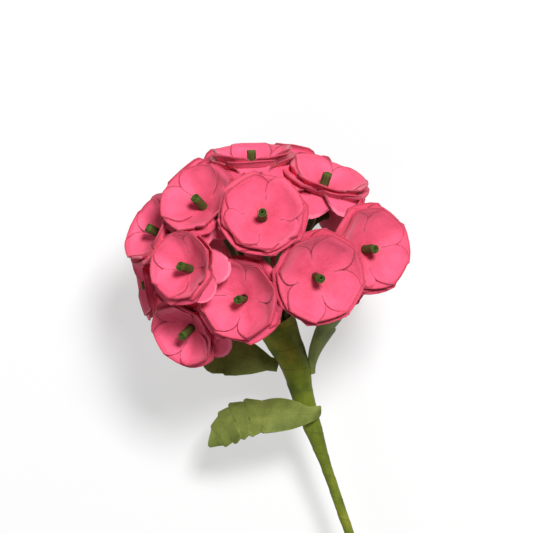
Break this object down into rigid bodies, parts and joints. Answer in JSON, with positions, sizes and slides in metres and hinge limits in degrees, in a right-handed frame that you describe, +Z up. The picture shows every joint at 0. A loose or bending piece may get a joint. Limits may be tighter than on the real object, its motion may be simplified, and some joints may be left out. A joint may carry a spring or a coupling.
{
  "type": "paper flower",
  "caption": "Handmade paper flower: a ball of pink paper florets on a tape-wrapped wire stem with serrated green leaves, lying on its side.",
  "frame": {"origin": "centre of the bounding box's bottom face, on the surface the flower lies on", "axes": "+Y along the stem from its cut end towards the head, +X across the stem, +Z up, the side that was looked down on"},
  "size_m": [0.0964, 0.3565, 0.0981],
  "materials": {
    "petal_paper": "matt, darker towards the root",
    "outer_petal_paper": "matt",
    "rolled_green_paper": "matt, rolled strip",
    "stem_tape": "slightly waxy crepe paper",
    "leaf_paper": "matt card",
    "stem_wire": "plain drawn wire"
  },
  "bodies": {
    "root": {"floret_01_stalk": "rolled_green_paper", "floret_01_inner_cup": "petal_paper", "floret_01_outer_cup": "outer_petal_paper", "floret_02_stalk": "rolled_green_paper", "floret_02_inner_cup": "petal_paper", "floret_02_outer_cup": "outer_petal_paper", "floret_03_stalk": "rolled_green_paper", "floret_03_inner_cup": "petal_paper", "floret_03_outer_cup": "outer_petal_paper", "floret_04_stalk": "rolled_green_paper", "floret_04_inner_cup": "petal_paper", "floret_04_outer_cup": "outer_petal_paper", "floret_05_stalk": "rolled_green_paper", "floret_05_inner_cup": "petal_paper", "floret_05_outer_cup": "outer_petal_paper", "floret_06_stalk": "rolled_green_paper", "floret_06_inner_cup": "petal_paper", "floret_06_outer_cup": "outer_petal_paper", "floret_07_stalk": "rolled_green_paper", "floret_07_inner_cup": "petal_paper", "floret_07_outer_cup": "outer_petal_paper", "floret_08_stalk": "rolled_green_paper", "floret_08_inner_cup": "petal_paper", "floret_08_outer_cup": "outer_petal_paper", "floret_09_stalk": "rolled_green_paper", "floret_09_inner_cup": "petal_paper", "floret_09_outer_cup": "outer_petal_paper", "floret_10_stalk": "rolled_green_paper", "floret_10_inner_cup": "petal_paper", "floret_10_outer_cup": "outer_petal_paper", "floret_11_stalk": "rolled_green_paper", "floret_11_inner_cup": "petal_paper", "floret_11_outer_cup": "outer_petal_paper", "floret_12_stalk": "rolled_green_paper", "floret_12_inner_cup": "petal_paper", "floret_12_outer_cup": "outer_petal_paper", "floret_13_stalk": "rolled_green_paper", "floret_13_inner_cup": "petal_paper", "floret_13_outer_cup": "outer_petal_paper", "floret_14_stalk": "rolled_green_paper", "floret_14_inner_cup": "petal_paper", "floret_14_outer_cup": "outer_petal_paper", "floret_15_stalk": "rolled_green_paper", "floret_15_inner_cup": "petal_paper", "floret_15_outer_cup": "outer_petal_paper", "floret_16_stalk": "rolled_green_paper", "floret_16_inner_cup": "petal_paper", "floret_16_outer_cup": "outer_petal_paper", "floret_17_stalk": "rolled_green_paper", "floret_17_inner_cup": "petal_paper", "floret_17_outer_cup": "outer_petal_paper", "floret_18_stalk": "rolled_green_paper", "floret_18_inner_cup": "petal_paper", "floret_18_outer_cup": "outer_petal_paper", "stem_wire": "stem_wire", "stem_tape": "stem_tape", "leaf_lower": "leaf_paper", "leaf_left": "leaf_paper", "leaf_right": "leaf_paper"}
  },
  "joints": []
}
